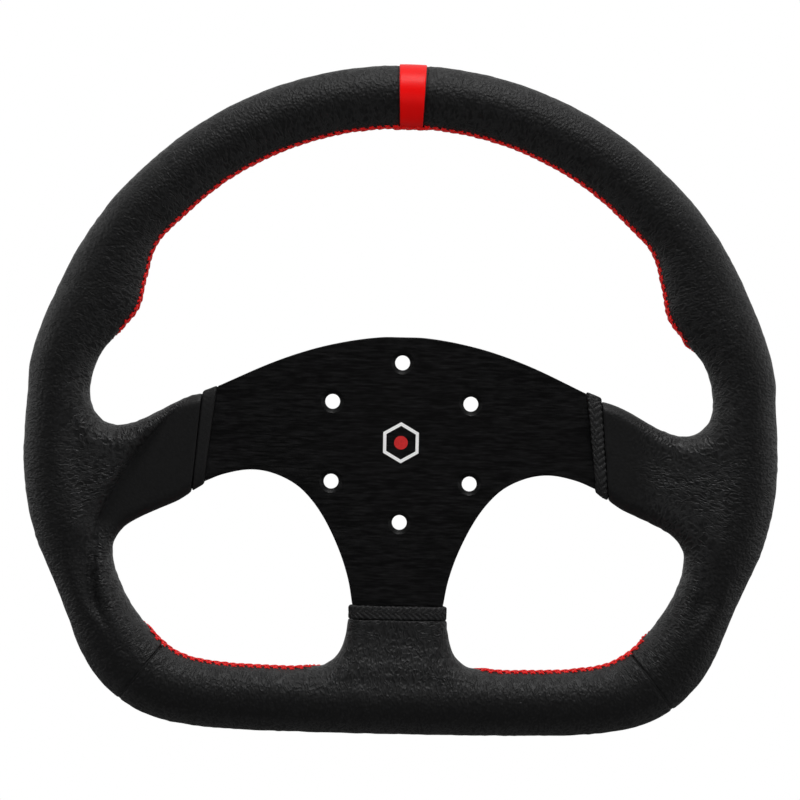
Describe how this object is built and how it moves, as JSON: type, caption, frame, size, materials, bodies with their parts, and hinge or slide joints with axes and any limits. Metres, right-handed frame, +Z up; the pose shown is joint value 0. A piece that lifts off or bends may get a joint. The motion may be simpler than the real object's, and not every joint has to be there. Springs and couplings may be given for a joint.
{
  "type": "steering wheel",
  "caption": "Flat D-shaped leather-covered steering wheel with a black three-arm plate that bolts to a quick release hub.",
  "frame": {"origin": "middle of the bolt circle, on the back face of the spoke plate", "axes": "+X to the driver's right, +Z up, +Y along the steering column away from the driver, towards the hub"},
  "size_m": [0.3306, 0.031, 0.2936],
  "materials": {
    "plate": "brushed, anodised black",
    "ring": "mill finish",
    "rivet": "plain",
    "foam": "moulded polyurethane foam, matt",
    "leather": "black, fine pebble grain, satin",
    "cuff": "black, matt",
    "marker": "red, smooth, satin",
    "thread": "red waxed thread",
    "print": "white ink print",
    "print_red": "red ink print"
  },
  "bodies": {
    "root": {"spoke_plate": "plate", "rim_ring": "ring", "rivet_right_1": "rivet", "rivet_right_2": "rivet", "rivet_left_1": "rivet", "rivet_left_2": "rivet", "rivet_bottom_1": "rivet", "rivet_bottom_2": "rivet", "foam_core": "foam", "leather_upper_right": "leather", "leather_upper_left": "leather", "leather_bottom": "leather", "centre_marker": "marker", "cuff_right": "cuff", "cuff_left": "cuff", "cuff_bottom": "cuff", "stitch_upper_right": "thread", "stitch_upper_left": "thread", "stitch_marker": "thread", "stitch_lower_right": "thread", "stitch_lower_left": "thread", "stitch_rear_right": "thread", "stitch_rear_left": "thread", "stitch_rear_bottom": "thread", "stitch_sleeve_right": "thread", "stitch_sleeve_left": "thread", "stitch_sleeve_bottom": "thread", "badge_ring": "print", "badge_dot": "print_red"}
  },
  "joints": []
}
